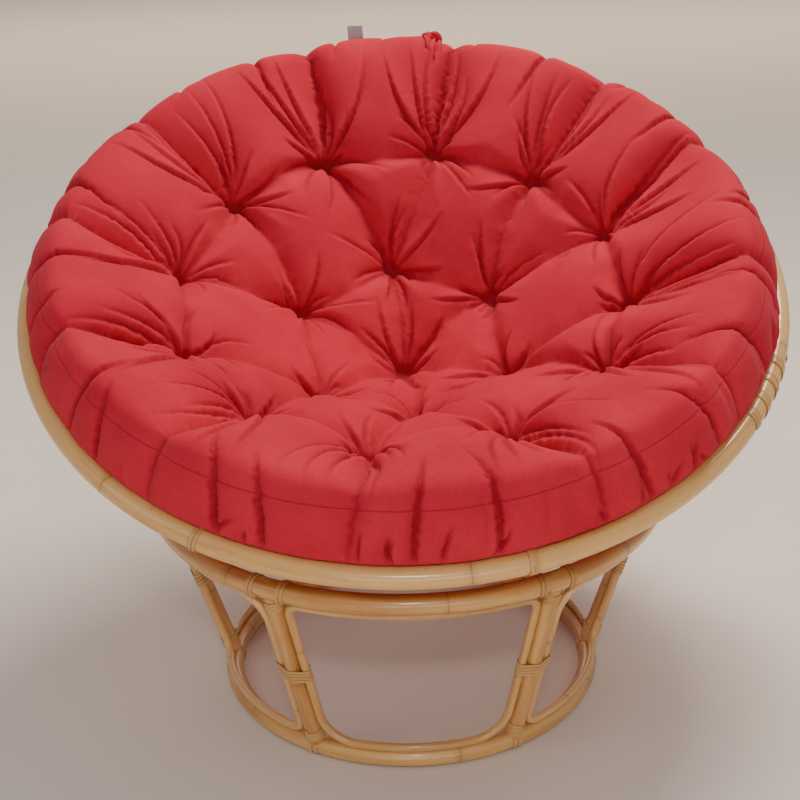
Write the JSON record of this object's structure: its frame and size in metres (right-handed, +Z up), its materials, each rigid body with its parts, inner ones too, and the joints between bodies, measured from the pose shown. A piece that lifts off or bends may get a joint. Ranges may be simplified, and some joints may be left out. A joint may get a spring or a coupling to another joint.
{
  "type": "papasan chair",
  "caption": "Round cane bowl chair with a thick tufted cushion, tilting freely on a drum-shaped base of hoops, posts and thin cane loops.",
  "frame": {"origin": "centre of the chair's outline on the floor", "axes": "+Z up, the seat opens towards -Y, +X to the viewer's right when the chair is seen from the front"},
  "size_m": [1.0984, 1.0052, 0.8905],
  "materials": {
    "varnished_cane": "glossy varnish over pale rattan poles",
    "thin_cane": "satin varnish over thin rattan",
    "split_cane": "flat strips of split cane, satin varnish",
    "red_cloth": "plain woven brushed cotton",
    "label_cloth": "smooth woven tape, bare",
    "steel": "dull wire"
  },
  "bodies": {
    "base": {"base_bottom_hoop": "varnished_cane", "base_top_hoop": "varnished_cane", "base_post_1": "varnished_cane", "bay_cane_1": "thin_cane", "middle_binding_1": "split_cane", "foot_binding_1": "split_cane", "head_binding_1": "split_cane", "base_post_2": "varnished_cane", "bay_cane_2": "thin_cane", "middle_binding_2": "split_cane", "foot_binding_2": "split_cane", "head_binding_2": "split_cane", "base_post_3": "varnished_cane", "bay_cane_3": "thin_cane", "middle_binding_3": "split_cane", "foot_binding_3": "split_cane", "head_binding_3": "split_cane", "base_post_4": "varnished_cane", "bay_cane_4": "thin_cane", "middle_binding_4": "split_cane", "foot_binding_4": "split_cane", "head_binding_4": "split_cane", "base_post_5": "varnished_cane", "bay_cane_5": "thin_cane", "middle_binding_5": "split_cane", "foot_binding_5": "split_cane", "head_binding_5": "split_cane", "base_post_6": "varnished_cane", "bay_cane_6": "thin_cane", "middle_binding_6": "split_cane", "foot_binding_6": "split_cane", "head_binding_6": "split_cane"},
    "bowl": {"bowl_rim": "varnished_cane", "bowl_middle_hoop": "thin_cane", "bowl_floor_hoop": "thin_cane", "bowl_rib_1": "thin_cane", "bowl_rib_2": "thin_cane", "bowl_rib_3": "thin_cane", "bowl_rib_4": "thin_cane", "bowl_rib_5": "thin_cane", "bowl_rib_6": "thin_cane", "bowl_rib_7": "thin_cane", "bowl_rib_8": "thin_cane", "rim_twin_band": "split_cane", "rim_flat_band": "split_cane", "rim_band_staple": "steel", "rim_splice_wrap": "split_cane", "rim_splice_nail": "steel"},
    "cushion": {"cushion": "red_cloth", "care_label": "label_cloth", "cushion_knot": "red_cloth"}
  },
  "joints": [
    {"name": "bowl_tilt", "type": "hinge", "parent": "base", "child": "bowl", "pos_m": [0, -0.0803, 0.76874], "axis": [1, 0, 0], "range_deg": [-52, 4]},
    {"name": "cushion_lift", "type": "slide", "parent": "bowl", "child": "cushion", "axis": [0, -0.4073, 0.9133], "range_m": [0, 0.5]}
  ]
}
